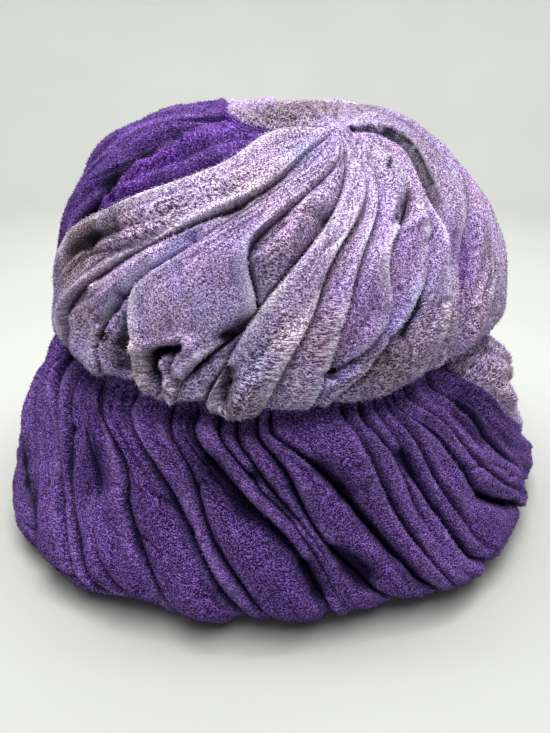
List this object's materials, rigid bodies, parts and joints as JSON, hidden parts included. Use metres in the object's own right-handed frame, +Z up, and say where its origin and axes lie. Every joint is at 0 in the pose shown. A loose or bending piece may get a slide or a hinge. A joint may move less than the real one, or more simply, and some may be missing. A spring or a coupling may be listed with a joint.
{
  "type": "cloche hat",
  "caption": "Soft draped cloche hat in two tones of crushed velvet: a dome crown with folds fanning from a gathered point over a pleated, turned-under brim.",
  "frame": {"origin": "centre of the ring that the turned-under brim rests on, on the supporting surface", "axes": "+Z up along the hat's axis, -Y towards the side with the gathered fan of folds, +X to that side's right"},
  "size_m": [0.2596, 0.2587, 0.1725],
  "materials": {
    "lilac_velvet": "crushed velvet pile, lilac with mauve, periwinkle and grey-brown cast",
    "purple_velvet": "crushed velvet pile, deep violet with a lighter sheen"
  },
  "bodies": {
    "root": {"crown_lilac_drape": "lilac_velvet", "crown_purple_drape": "purple_velvet", "brim_purple_drape": "purple_velvet", "brim_lilac_drape": "lilac_velvet"}
  },
  "joints": []
}
